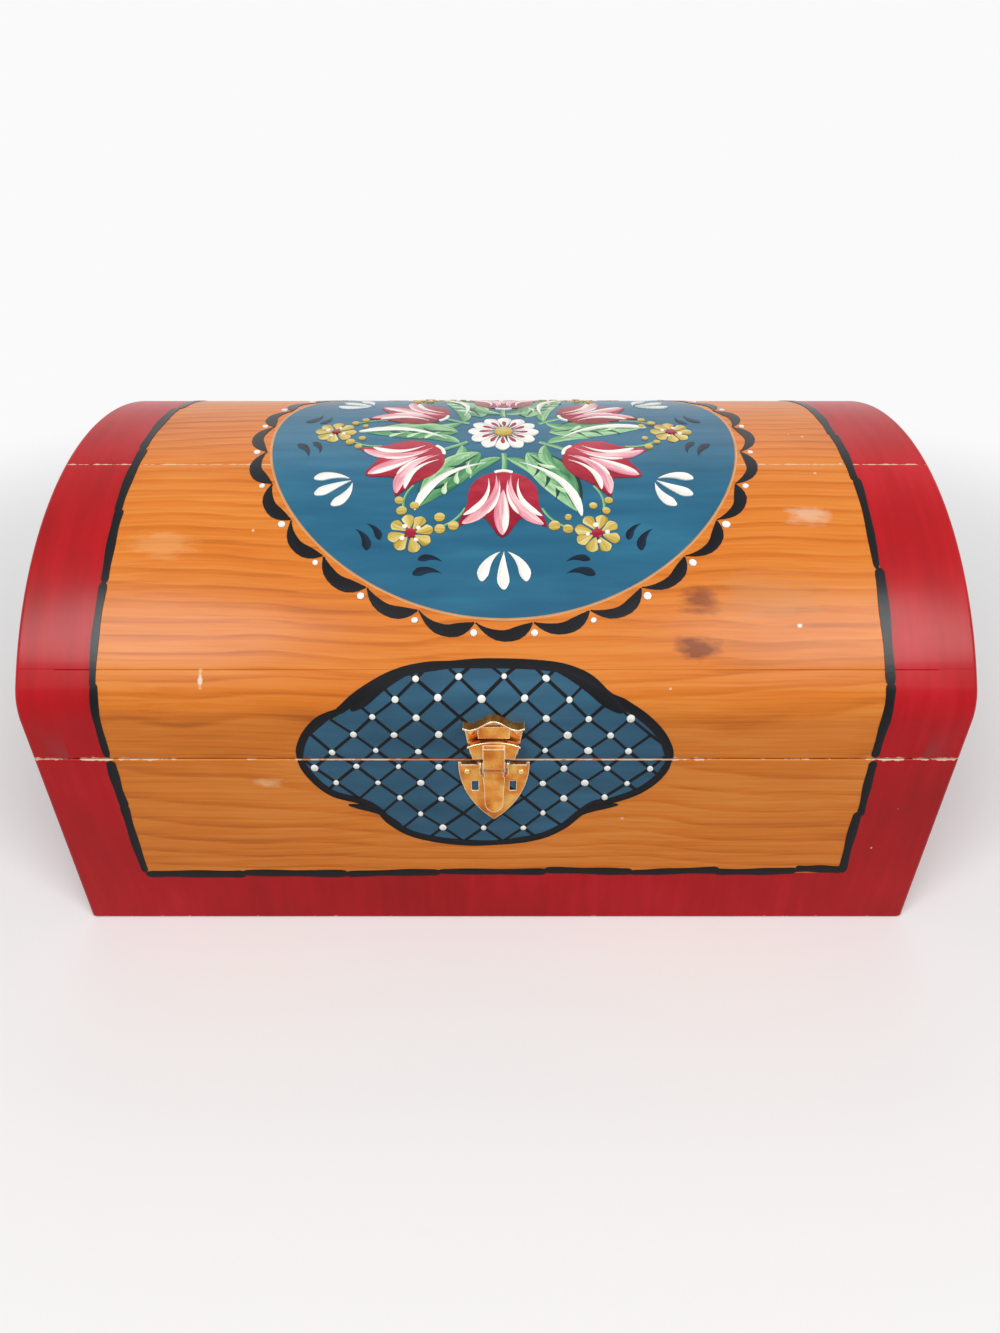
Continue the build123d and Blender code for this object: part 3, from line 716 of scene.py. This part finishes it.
def finish_board(mesh, name, mirrored=False):
    """Joins the faces of a board, rounds its outer ends and lets it stand for its CAD solid."""
    bmesh.ops.remove_doubles(mesh, verts=mesh.verts[:], dist=merge_reach)
    bmesh.ops.recalc_face_normals(mesh, faces=mesh.faces[:])
    outer = []
    for edge in mesh.edges:
        a, b = (v.co for v in edge.verts)
        middle = (a + b) / 2
        reach = math.hypot(middle.y, middle.z - dome_centre)
        on_wall = abs(a.y + half_depth) < hair and abs(b.y + half_depth) < hair
        on_round = middle.z > shoulder and reach > dome_radius - stave_edge / 2
        at_end = abs(abs(a.x) - half_width) < hair and abs(a.x - b.x) < hair
        climb = math.hypot(a.y, a.z - dome_centre) - math.hypot(b.y, b.z - dome_centre)
        radial = abs(climb) > 1 * MM
        if at_end and (on_wall or (on_round and not radial)):
            outer.append(edge)
    rounding = {"affect": "EDGES", "profile": 0.5, "material": -1}
    bmesh.ops.bevel(mesh, geom=outer, offset=1.5 * MM, segments=4, clamp_overlap=True, **rounding)
    long_edges = [e for e in mesh.edges if abs(e.verts[0].co.x - e.verts[1].co.x) > half_width]
    corners = [e for e in long_edges if e.calc_face_angle(0) > math.radians(40)]
    at_foot = []
    at_joint = []
    for edge in corners:
        place = edge.verts[0].co
        if place.y < -half_depth + hair and place.z < lid_foot + hair:
            at_foot.append(edge)
        elif place.z > shoulder and math.hypot(place.y, place.z - dome_centre) > dome_radius - hair:
            at_joint.append(edge)
    bmesh.ops.bevel(mesh, geom=at_foot, offset=0.5 * MM, segments=3, **rounding)
    bmesh.ops.bevel(mesh, geom=at_joint, offset=0.3 * MM, segments=1, **rounding)
    if mirrored:
        half_turn = Matrix.Rotation(math.pi, 3, "Z")
        bmesh.ops.rotate(mesh, verts=mesh.verts[:], cent=(0, 0, 0), matrix=half_turn)
    data = bpy.data.meshes.new(name + "_smooth")
    mesh.to_mesh(data)
    mesh.free()
    data.shade_smooth()
    data.set_sharp_from_angle(angle=math.radians(32))
    piece = bpy.data.objects.new(name + "_smooth", data)
    bpy.context.scene.collection.objects.link(piece)
    data.materials.append(finishes[name])
    even = piece.modifiers.new("even_faces", "WEIGHTED_NORMAL")
    even.keep_sharp = True
    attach(piece, "lid")
    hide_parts(name)


def smooth_rail(name, mirrored):
    """Rail with its upright wall and round shoulder, rabbeted at both ends for the lid's ends."""
    mesh = bmesh.new()
    outer = rail_curve(0.0)
    lap = rail_curve(corner_lap)
    heel = [turn_point(joint_turn, stave_edge), (-half_depth + wall, lid_foot)]
    whole = [lap[0]] + outer + [lap[-1]]
    inner_end = half_width - wall
    strip(mesh, whole, -half_width, -inner_end)
    strip(mesh, whole, -inner_end, inner_end)
    strip(mesh, whole, inner_end, half_width)
    strip(mesh, lap, -half_width, -inner_end)
    strip(mesh, lap, inner_end, half_width)
    strip(mesh, [lap[-1]] + heel + [lap[0]], -inner_end, inner_end)
    for x in (-half_width, half_width):
        cap(mesh, outer + lap[::-1], x)
    for x in (-inner_end, inner_end):
        cap(mesh, [lap[-1]] + heel + lap[:-1], x)
    finish_board(mesh, name, mirrored)


def smooth_stave(name, first, last):
    """Full-length stave of the dome, rounded outside and flat inside."""
    mesh = bmesh.new()
    outer = arc_points(turn_point, first, last)
    section = outer + [turn_point(last, stave_edge), turn_point(first, stave_edge)]
    strip(mesh, section + section[:1], -half_width, half_width)
    for x in (-half_width, half_width):
        cap(mesh, section, x)
    finish_board(mesh, name)


smooth_rail("lid_front_rail", False)
smooth_rail("lid_back_rail", True)
smooth_stave("lid_front_slope_board", joint_turn, top_turn)
smooth_stave("lid_top_board", top_turn, -top_turn)
smooth_stave("lid_rear_slope_board", -top_turn, -joint_turn)


def brush_line(drawing, start, end, hand):
    """Row of overlapping brush strokes along a straight line, each a little off the last."""
    length = math.dist(start, end)
    way = Vector(((end[0] - start[0]) / length, (end[1] - start[1]) / length))
    aside = Vector((-way.y, way.x))
    done = 0.0
    while done < length - 6 * MM:
        reach = min(hand.uniform(26, 40) * MM, length - done)
        if length - done - reach < 12 * MM:
            reach = length - done
        wander = hand.uniform(-0.5, 0.5) * MM
        lean = hand.uniform(-0.5, 0.5) * MM
        steps = 18
        line = []
        for index in range(steps + 1):
            t = ease(index / steps)
            off = wander + lean * (t - 0.5) + 0.35 * MM * math.sin(3.1 * t + 5 * wander / MM)
            place = Vector(start) + way * (done + reach * t) + aside * off
            line.append((place.x, place.y))
        swell = hand.uniform(0.85, 1.2)
        wave = hand.uniform(0, 6)

        def profile(t):
            return round_profile(t) * (0.85 + 0.2 * t + 0.09 * math.sin(11 * t + wave))

        drawing.stroke(line, brush_width * swell, profile)
        done += reach - hand.uniform(0.4, 2.0) * MM


def paint_borders():
    """Black brush lines between the wood and the red bands, on the front, over the lid and behind."""
    hand = random.Random(11)
    lines = Drawing()
    gap = 0.5 * MM
    for side in (band_left, band_right):
        brush_line(lines, (side, band_foot), (side, seam - gap), hand)
        brush_line(lines, (side, lid_foot + gap), (side, whole_way - lid_foot - gap), hand)
        brush_line(lines, (side, whole_way - seam + gap), (side, whole_way - band_foot), hand)
    brush_line(lines, (band_left, band_foot - 1.2 * MM), (band_right, band_foot + 1.6 * MM), hand)
    brush_line(lines, (band_left, whole_way - band_foot), (band_right, whole_way - band_foot), hand)
    lay(lines, "border_brush_lines", 0.16 * MM, black_line)


# Cartouche round the latch: its middle, and its outline as points in millimetres across and
# round the front
cartouche_middle = (-4 * MM, 73.5 * MM)
cartouche_points = [
    (-64.4, 75.6), (-62.4, 83.5), (-57.0, 90.5), (-49.8, 94.2), (-42.9, 99.7), (-34.4, 104.8),
    (-26.0, 107.6), (-14.2, 109.0), (-0.6, 109.4), (13.0, 108.9), (21.8, 107.6), (29.0, 104.6),
    (34.5, 99.8), (40.8, 96.2), (48.0, 91.0), (53.9, 83.8), (56.7, 75.6), (54.2, 68.2),
    (48.1, 61.9), (39.6, 57.8), (33.4, 56.2), (28.0, 51.4), (22.8, 45.8), (14.2, 40.9),
    (-0.8, 38.2), (-15.9, 38.8), (-28.9, 42.2), (-36.4, 47.8), (-41.0, 54.2), (-47.0, 57.6),
    (-55.4, 60.8), (-61.4, 67.6),
]


def inside(point, outline):
    """Whether a point lies inside a closed outline."""
    hits = 0
    for a, b in zip(outline, outline[1:] + outline[:1]):
        if (a[1] > point[1]) != (b[1] > point[1]):
            if point[0] < a[0] + (point[1] - a[1]) / (b[1] - a[1]) * (b[0] - a[0]):
                hits += 1
    return hits % 2 == 1


def paint_dots(places, radius, name, hand, lift, material):
    """Raised dots of enamel, dropped from the handle of the brush."""
    dots = Drawing()
    for place in places:
        size = radius * hand.uniform(0.8, 1.2)
        squash = hand.uniform(0.85, 1.1)
        turn = hand.uniform(0, math.pi)
        corners = 12
        outline = []
        for index in range(corners):
            angle = 2 * math.pi * index / corners
            u = size * math.cos(angle)
            v = size * squash * math.sin(angle)
            across = place[0] + u * math.cos(turn) - v * math.sin(turn)
            upward = place[1] + u * math.sin(turn) + v * math.cos(turn)
            outline.append((across, upward))
        dots.patch(outline)
    lay(dots, name, lift, material, bevel=0.22 * MM, bends=False)


def lattice(outline, pitch, rise, origin, hand, reach):
    """Crossing lines of a diamond trellis kept inside an outline; returns lines and crossings."""
    crossings = {}
    for row in range(-reach, reach + 1):
        for column in range(-reach, reach + 1):
            x = origin[0] + pitch * (column + 0.5 * (row % 2)) + hand.uniform(-0.6, 0.6) * MM
            way = origin[1] + rise * row + hand.uniform(-0.5, 0.5) * MM
            crossings[(2 * column + row % 2, row)] = (x, way)
    lines = []
    for (column, row), here in crossings.items():
        for side in (-1, 1):
            there = crossings.get((column + side, row + 1))
            if there is None:
                continue
            steps = 12
            shares = [index / steps for index in range(steps + 1)]
            points = [tuple(a + (b - a) * t for a, b in zip(here, there)) for t in shares]
            kept = [point for point in points if inside(point, outline)]
            if len(kept) > 3:
                lines.append(kept)
    inner = [p for p in crossings.values() if inside(p, outline)]
    return lines, inner


def under_plate(point):
    """Whether a point of the front is covered by a plate of the latch, or as good as."""
    margin = 1.4 * MM
    for plate in ("latch_shield_plate", "latch_strike_plate"):
        low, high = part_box(plate)
        across = low.x - margin < point[0] < high.x + margin
        if across and low.z - margin < point[1] < high.z + margin:
            return True
    return False


def drawn_in(outline, across, upward):
    """Outline of the cartouche drawn in towards its middle by a share each way."""
    x, way = cartouche_middle
    return [(x + (u - x) * across, way + (v - way) * upward) for u, v in outline]


# Comma curls on the cartouche's outline: start and end, bend and width, all in millimetres but
# the bend
cartouche_curls = [
    ((-46, 94.2), (-26, 106.6), 0.14, 4.8),
    ((40, 93.5), (17, 107.8), -0.12, 5.0),
    ((-50.5, 55.6), (-33, 46.8), 0.16, 2.2),
    ((41.5, 55.8), (25, 48.4), -0.16, 2.2),
]
# Points of the smoothed outline at which the brush was lifted
cartouche_breaks = [0, 18, 42, 74, 97, 116, 144, 168, 192]


def paint_cartouche():
    """Slate-blue cartouche with its trellis, white dots, outline and comma curls."""
    hand = random.Random(23)
    outline = [(x * MM, way * MM) for x, way in smooth_outline(cartouche_points)]
    ground = Drawing()
    ground.patch(outline)
    lay(ground, "cartouche_ground", 0.05 * MM, cartouche_blue)
    lines, crossings = lattice(
        drawn_in(outline, 0.985, 0.975), 13.8 * MM, 6.6 * MM, (-53.2 * MM, 78.5 * MM), hand, 9
    )
    trellis = Drawing()
    for line in lines:
        trellis.stroke(line, hand.uniform(0.95, 1.35) * MM, line_profile)
    lay(trellis, "cartouche_trellis", 0.1 * MM, black_line)
    well_inside = drawn_in(outline, 0.95, 0.93)
    dotted = [p for p in crossings if inside(p, well_inside) and not under_plate(p)]
    paint_dots(dotted, 1.1 * MM, "cartouche_dots", hand, dot_lift, white_line)
    rim = Drawing()
    for first, last in zip(cartouche_breaks, cartouche_breaks[1:]):
        line = [outline[index % len(outline)] for index in range(first, last + 1)]
        at_top = max(way for _, way in line) > 97 * MM
        rim.stroke(line, (3.2 if at_top else 2.6) * MM, lambda t: 0.75 + 0.25 * round_profile(t))
    for start, end, bend, width in cartouche_curls:
        line = curve([c * MM for c in start], [c * MM for c in end], bend)
        rim.stroke(line, width * MM, comma_profile)
    lay(rim, "cartouche_outline", 0.2 * MM, black_line)


# Medallion on the crown: a round blue field with scallops round it and a wreath in it
medallion_x = 2.5 * MM
medallion_way = 208 * MM
medallion_radius = 84 * MM
scallop_count = 29


def spot(reach, around, turn=0.0):
    """Places points given across and along a local axis, in millimetres, on the medallion. The
    axis starts at a reach from the centre, at an angle round it, and points outwards plus a turn."""
    angle = math.radians(around)
    out = angle + math.radians(turn)
    x = medallion_x + reach * MM * math.cos(angle)
    way = medallion_way + reach * MM * math.sin(angle)

    def place(u, v):
        return (
            x + (v * math.cos(out) + u * math.sin(out)) * MM,
            way + (v * math.sin(out) - u * math.cos(out)) * MM,
        )

    return place


def ring_points(count, reach):
    """Points evenly spaced on a circle round the medallion's centre."""
    points = []
    for index in range(count):
        angle = 2 * math.pi * (index + 0.5) / count - math.pi / 2
        points.append((medallion_x + reach * math.cos(angle), medallion_way + reach * math.sin(angle)))
    return points


def paint_medallion_ground():
    """Blue ground with its tan edge line, black scallops and white dots at their cusps."""
    hand = random.Random(31)
    ground = Drawing()
    ground.patch(ring_points(160, medallion_radius))
    lay(ground, "medallion_ground", 0.05 * MM, medallion_blue)
    edge = Drawing()
    ring = ring_points(180, medallion_radius + 0.4 * MM)
    edge.stroke(ring + ring[:1], 0.8 * MM, lambda t: 1.0)
    lay(edge, "medallion_edge_line", 0.07 * MM, tan_line)
    scallops = Drawing()
    cusps = ring_points(scallop_count, medallion_radius + 1.8 * MM)
    for here, there in zip(cusps, cusps[1:] + cusps[:1]):
        line = curve(here, there, -hand.uniform(0.44, 0.54))[1:-1]
        lean = hand.uniform(0.9, 1.25)
        scallops.stroke(line, hand.uniform(4.2, 5.0) * MM, lambda t: crescent_profile(t**lean))
    lay(scallops, "medallion_scallops", 0.14 * MM, black_line)
    ring = ring_points(scallop_count, medallion_radius + 5.4 * MM)
    paint_dots(ring, 1.2 * MM, "medallion_edge_dots", hand, dot_lift, white_line)


def bow(place, start, end, bend):
    """Curved line between two local points of a spot."""
    return curve(place(*start), place(*end), bend)


# Strokes of a tulip on its right side, mirrored for its left: coat, start, end, bend and width, all
# in millimetres but the bend
tulip_strokes = [
    ("pink_strokes", (13.6, 27), (2.6, 5.0), 0.34, 4.2),
    ("white_strokes", (13.2, 23.5), (5.2, 6.6), 0.34, 2.3),
    ("pink_strokes", (7.2, 22.5), (1.6, 7.0), 0.26, 2.7),
    ("white_strokes", (5.4, 22.8), (1.4, 9.0), 0.2, 1.3),
]

tulip_cup = [
    (0, 3), (-7.0, 5.0), (-11.4, 11), (-12.2, 19), (-14.6, 28), (-7.0, 23.8), (0, 32.5), (7.0, 23.8),
    (14.6, 28), (12.2, 19), (11.4, 11), (7.0, 5.0),
]


def paint_tulip(coats, around, hand):
    """Tulip that points outwards, with its stalk, side leaves and the commas beyond its tip."""
    tulip = spot(23, around, hand.uniform(-3, 3))
    coats["leaves"].stroke(bow(tulip, (0, -8), (0, 5), 0.05), 2.0 * MM, line_profile)
    for side in (-1, 1):
        line = bow(tulip, (side * 1.0, -5), (side * 11.5, 6.5), -side * 0.3)
        coats["leaves"].stroke(line, 4.6 * MM, leaf_profile)
    coats["tulip_cups"].patch([tulip(u, v) for u, v in smooth_outline(tulip_cup, 4)])
    for side in (-1, 1):
        for coat, start, end, bend, width in tulip_strokes:
            line = bow(tulip, (side * start[0], start[1]), (side * end[0], end[1]), -side * bend)
            coats[coat].stroke(line, width * MM, comma_profile)
    whites = coats["white_strokes"]
    coats["pink_strokes"].stroke(bow(tulip, (0, 31.5), (0, 12), 0.04), 5.2 * MM, leaf_profile)
    whites.stroke(bow(tulip, (-0.6, 30.5), (-0.4, 14), -0.06), 2.3 * MM, comma_profile)
    whites.stroke(bow(tulip, (-3.2, 3.4), (3.2, 3.4), -0.3), 1.3 * MM, round_profile)
    curl = spot(63, around)
    whites.stroke(bow(curl, (0, 11.5), (0, -2), 0.05), 4.2 * MM, comma_profile)
    for side in (-1, 1):
        whites.stroke(bow(curl, (side * 7.2, 8.6), (side * 1.4, -2.0), side * 0.26), 4.0 * MM, comma_profile)
        dark = spot(72, around + side * 20.5)
        for start, end, width in (((-3.5, 3.2), (5.0, -0.6), 3.2), ((-4.0, -2.4), (3.6, -4.6), 2.6)):
            line = bow(dark, (side * start[0], start[1]), (side * end[0], end[1]), -side * 0.3)
            coats["dark_commas"].stroke(line, width * MM, comma_profile)


def paint_leaf(coats, around, hand):
    """Broad leaf between two tulips, with its shaded edge, veins, lights and one white stroke."""
    leaf = spot(17, around, hand.uniform(-4, 4))
    side = 1 if 90 < around % 360 < 270 else -1
    shades = coats["leaf_veins"]
    coats["leaf_outlines"].stroke(bow(leaf, (0, 0), (side * 2.0, 34), -side * 0.12), 14.6 * MM, leaf_profile)
    coats["leaves"].stroke(bow(leaf, (0, 0), (side * 1.2, 34), -side * 0.1), 13.4 * MM, leaf_profile)
    shades.stroke(bow(leaf, (0, 1.5), (side * 1.2, 32), -side * 0.1), 1.0 * MM, comma_profile)
    for step in range(3):
        v = 8 + 6.5 * step
        reach = 4.6 - 0.9 * step
        shades.stroke(bow(leaf, (side * 0.4, v), (reach, v + 5.0), 0.2), 1.5 * MM, comma_profile)
        light = bow(leaf, (side * 0.2 - reach, v + 4.0), (0, v - 1.5), 0.22)
        coats["leaf_lights"].stroke(light, 2.1 * MM, comma_profile)
    sweep = bow(leaf, (side * 1.6, 36.5), (-side * 5.2, 4), side * 0.3)
    coats["white_strokes"].stroke(sweep, 3.4 * MM, comma_profile)


def paint_ochre_daisy(coats, dots, around, hand):
    """Small ochre daisy beyond a leaf, with its heart, pearls and a sprig of berries on each side."""
    daisy = spot(62, around)
    for index in range(8):
        angle = math.radians(index * 45 + hand.uniform(-4, 4))
        tip = (7.6 * math.cos(angle), 7.6 * math.sin(angle))
        root = (1.4 * math.cos(angle), 1.4 * math.sin(angle))
        coats["ochre_petals"].stroke(bow(daisy, tip, root, 0.08), 4.3 * MM, comma_profile)
    dots["daisy_hearts"].append(daisy(0, 0))
    for angle in (67.5, 157.5, 247.5, 337.5):
        turn = math.radians(angle)
        dots["pearls"].append(daisy(3.3 * math.cos(turn), 3.3 * math.sin(turn)))
    for side in (-1, 1):
        sprig = spot(50, around + side * 9.5)
        stalk = bow(sprig, (-side * 3, -5), (side * 1.5, 5), side * 0.2)
        coats["leaves"].stroke(stalk, 1.0 * MM, line_profile)
        for u, v in ((1.7, 6.2), (3.6, 1.8), (-2.0, 3.4)):
            dots["berries"].append(sprig(side * u, v))


def paint_middle_daisy(coats, dots):
    """White daisy at the middle, with crimson folds in its petals."""
    middle = spot(0, 0)
    for index in range(12):
        angle = math.radians(index * 30)
        tip, half, root = ((reach * math.cos(angle), reach * math.sin(angle)) for reach in (13.0, 9, 3))
        coats["white_strokes"].stroke(bow(middle, tip, root, 0.1), 5.4 * MM, comma_profile)
        coats["daisy_folds"].stroke(bow(middle, half, root, 0.1), 1.7 * MM, comma_profile)
    dots["middle"].append(middle(0, 0))


# Coats of the wreath from the lowest up: name, lift in millimetres and enamel
wreath_coats = [
    ("leaf_outlines", 0.11, deep_green_line),
    ("leaves", 0.18, green_line),
    ("leaf_veins", 0.26, deep_green_line),
    ("leaf_lights", 0.27, pale_green_line),
    ("dark_commas", 0.12, navy_line),
    ("tulip_cups", 0.26, crimson_line),
    ("ochre_petals", 0.26, ochre_line),
    ("pink_strokes", 0.34, pink_line),
    ("white_strokes", 0.42, white_line),
    ("daisy_folds", 0.5, crimson_line),
]

# Raised dots of the wreath: name, radius and lift in millimetres, and enamel
wreath_dots = [
    ("middle", 3.4, 0.7, ochre_line),
    ("daisy_hearts", 1.9, 0.55, crimson_line),
    ("berries", 1.6, 0.5, ochre_line),
    ("pearls", 0.8, 0.45, white_line),
]


def paint_wreath():
    """Generic folk wreath: six crimson tulips round a daisy, with leaves and ochre daisies between."""
    hand = random.Random(47)
    coats = {name: Drawing() for name, _, _ in wreath_coats}
    dots = {name: [] for name, _, _, _ in wreath_dots}
    for around in range(-90, 270, 60):
        paint_tulip(coats, around, hand)
    for around in range(-60, 300, 60):
        paint_leaf(coats, around, hand)
        paint_ochre_daisy(coats, dots, around, hand)
    paint_middle_daisy(coats, dots)
    for name, lift, enamel in wreath_coats:
        lay(coats[name], "wreath_" + name, lift * MM, enamel)
    for name, radius, lift, enamel in wreath_dots:
        paint_dots(dots[name], radius * MM, "wreath_" + name, hand, lift * MM, enamel)


paint_borders()
paint_cartouche()
paint_medallion_ground()
paint_wreath()


# Floor, lamps and camera


def direct_rays(tree):
    """1 for the rays that show the background as the camera sees it, 0 for those that light."""
    rays = add(tree, "LightPath").outputs
    shown = add(tree, "Math", [rays["Is Camera Ray"], rays["Is Glossy Ray"]], operation="MAXIMUM")
    return add(tree, "Math", [shown, rays["Is Transmission Ray"]], operation="MAXIMUM")


def pale_floor():
    """Seamless white studio paper: matt near the box, where it keeps the shadow, and plain white
    further off."""
    material, tree = new_material("white_studio_paper")
    coords = add(tree, "TexCoord").outputs["Object"]
    reach = add(tree, "VectorMath", [coords], operation="LENGTH").outputs["Value"]
    far = add(
        tree,
        "MapRange",
        {"Value": reach, "From Min": 0.3, "From Max": 0.75},
        interpolation_type="SMOOTHSTEP",
    )
    direct = direct_rays(tree)
    tones = {"Factor": direct, below: linear("#A8A8A8"), above: linear("#F0F0F0")}
    paper = add(tree, "Mix", tones, data_type="RGBA").outputs[mixed]
    shader = add(tree, "BsdfPrincipled", {"Base Color": paper, "Roughness": 0.8, "Specular IOR Level": 0.2})
    glow = add(tree, "Emission", {"Color": linear("#FAFAFA"), "Strength": 1.0})
    whitened = add(tree, "Math", [far, direct], operation="MULTIPLY")
    blend = add(tree, "MixShader", [whitened, shader, glow])
    add(tree, "OutputMaterial", [blend])
    return material


floor_mesh = bmesh.new()
bmesh.ops.create_circle(floor_mesh, cap_ends=True, segments=96, radius=6.0)
floor_data = bpy.data.meshes.new("studio_floor")
floor_mesh.to_mesh(floor_data)
floor_mesh.free()
floor = bpy.data.objects.new("studio_floor", floor_data)
floor.data.materials.append(pale_floor())
bpy.context.scene.collection.objects.link(floor)

world = bpy.data.worlds.new("soft_room")
bpy.context.scene.world = world
world.use_nodes = True
sky = world.node_tree
sky.nodes.clear()
level = add(sky, "MapRange", {"Value": direct_rays(sky), "To Min": 0.32, "To Max": 1.0})
backdrop = add(sky, "Background", {"Color": linear("#FAFAFA"), "Strength": level})
add(sky, "OutputWorld", [backdrop])


def soft_lamp(name, place, target, size, power):
    """Square softbox that faces a point of the box."""
    data = bpy.data.lights.new(name, "AREA")
    data.shape = "RECTANGLE"
    data.size, data.size_y = size
    data.energy = power
    lamp = bpy.data.objects.new(name, data)
    lamp.location = place
    lamp.rotation_euler = (Vector(target) - Vector(place)).to_track_quat("-Z", "Y").to_euler()
    bpy.context.scene.collection.objects.link(lamp)


lit_point = (0, 0, 0.1)
for side in (-1, 1):
    soft_lamp("key_softbox", (side * 0.55, -0.72, 0.98), lit_point, (0.42, 0.45), 7.0)
soft_lamp("rear_softbox", (0.0, 0.75, 0.95), lit_point, (1.2, 0.5), 1.6)

# Camera at the place that the photograph's perspective gives, its focal length in pixels of the
# 1000 pixel wide picture
picture_height = 1333
focal_pixels = 810
camera_pitch = 31.457
camera_data = bpy.data.cameras.new("camera")
camera_data.sensor_width = 36.0
camera_data.lens = focal_pixels / picture_height * camera_data.sensor_width
camera_data.clip_start = 0.01
camera = bpy.data.objects.new("camera", camera_data)
camera.location = (1.2 * MM, -half_depth - 211.2 * MM, 240.1 * MM)
camera.rotation_euler = (math.radians(90 - camera_pitch), 0, 0)
bpy.context.scene.collection.objects.link(camera)
bpy.context.scene.camera = camera
bpy.context.scene.view_settings.view_transform = "Standard"
